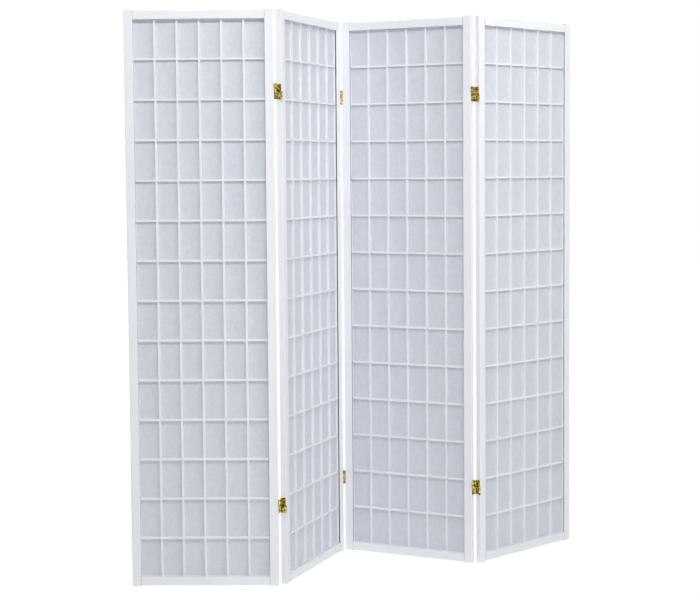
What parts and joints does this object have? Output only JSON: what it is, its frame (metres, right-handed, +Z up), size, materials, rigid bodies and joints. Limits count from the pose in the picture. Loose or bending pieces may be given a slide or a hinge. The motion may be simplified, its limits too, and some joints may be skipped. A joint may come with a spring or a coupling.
{
  "type": "shoji folding screen",
  "caption": "Free-standing folding screen of lattice-and-paper panels joined by two-way hinges, standing in a zig-zag.",
  "frame": {"origin": "centre of the bottom of the bounding box, on the floor", "axes": "+Z up, +X to the right and +Y away from the viewer, as in the picture"},
  "size_m": [1.4558, 0.5554, 1.784],
  "materials": {
    "frame_paint": "satin white paint",
    "lattice_paint": "satin white paint",
    "shoji_paper": "matt fibre paper",
    "dowel_wood": "bare beech",
    "hinge_brass": "polished plate",
    "pin_brass": "polished plate",
    "screw_brass": "polished plate"
  },
  "bodies": {
    "panel_1": {"panel_1_stile_left": "frame_paint", "panel_1_stile_right": "frame_paint", "panel_1_top_rail": "frame_paint", "panel_1_bottom_rail": "frame_paint", "panel_1_dowels": "dowel_wood", "panel_1_lattice_uprights": "lattice_paint", "panel_1_lattice_crossbars": "lattice_paint", "panel_1_paper": "shoji_paper", "hinge_1_leaves_left": "hinge_brass", "hinge_1_upper_links": "hinge_brass", "hinge_1_pins_left": "pin_brass", "hinge_1_screws_left": "screw_brass"},
    "panel_2": {"panel_2_stile_left": "frame_paint", "panel_2_stile_right": "frame_paint", "panel_2_top_rail": "frame_paint", "panel_2_bottom_rail": "frame_paint", "panel_2_dowels": "dowel_wood", "panel_2_lattice_uprights": "lattice_paint", "panel_2_lattice_crossbars": "lattice_paint", "panel_2_paper": "shoji_paper", "hinge_1_leaves_right": "hinge_brass", "hinge_1_lower_links": "hinge_brass", "hinge_1_pins_right": "pin_brass", "hinge_1_screws_right": "screw_brass", "hinge_2_leaves_left": "hinge_brass", "hinge_2_lower_links": "hinge_brass", "hinge_2_pins_left": "pin_brass", "hinge_2_screws_left": "screw_brass"},
    "panel_3": {"panel_3_stile_left": "frame_paint", "panel_3_stile_right": "frame_paint", "panel_3_top_rail": "frame_paint", "panel_3_bottom_rail": "frame_paint", "panel_3_dowels": "dowel_wood", "panel_3_lattice_uprights": "lattice_paint", "panel_3_lattice_crossbars": "lattice_paint", "panel_3_paper": "shoji_paper", "hinge_2_leaves_right": "hinge_brass", "hinge_2_upper_links": "hinge_brass", "hinge_2_pins_right": "pin_brass", "hinge_2_screws_right": "screw_brass", "hinge_3_leaves_left": "hinge_brass", "hinge_3_upper_links": "hinge_brass", "hinge_3_pins_left": "pin_brass", "hinge_3_screws_left": "screw_brass"},
    "panel_4": {"panel_4_stile_left": "frame_paint", "panel_4_stile_right": "frame_paint", "panel_4_top_rail": "frame_paint", "panel_4_bottom_rail": "frame_paint", "panel_4_dowels": "dowel_wood", "panel_4_lattice_uprights": "lattice_paint", "panel_4_lattice_crossbars": "lattice_paint", "panel_4_paper": "shoji_paper", "hinge_3_leaves_right": "hinge_brass", "hinge_3_lower_links": "hinge_brass", "hinge_3_pins_right": "pin_brass", "hinge_3_screws_right": "screw_brass"}
  },
  "joints": [
    {"name": "fold_1", "type": "hinge", "parent": "panel_1", "child": "panel_2", "pos_m": [-0.26642, -0.25425, 0.892], "axis": [0, 0, 1], "range_deg": [-68, 112]},
    {"name": "fold_2", "type": "hinge", "parent": "panel_2", "child": "panel_3", "pos_m": [-0.05885, 0.16278, 0.892], "axis": [0, 0, -1], "range_deg": [-92, 87]},
    {"name": "fold_3", "type": "hinge", "parent": "panel_3", "child": "panel_4", "pos_m": [0.36822, -0.02326, 0.892], "axis": [0, 0, 1], "range_deg": [-67, 113]}
  ]
}
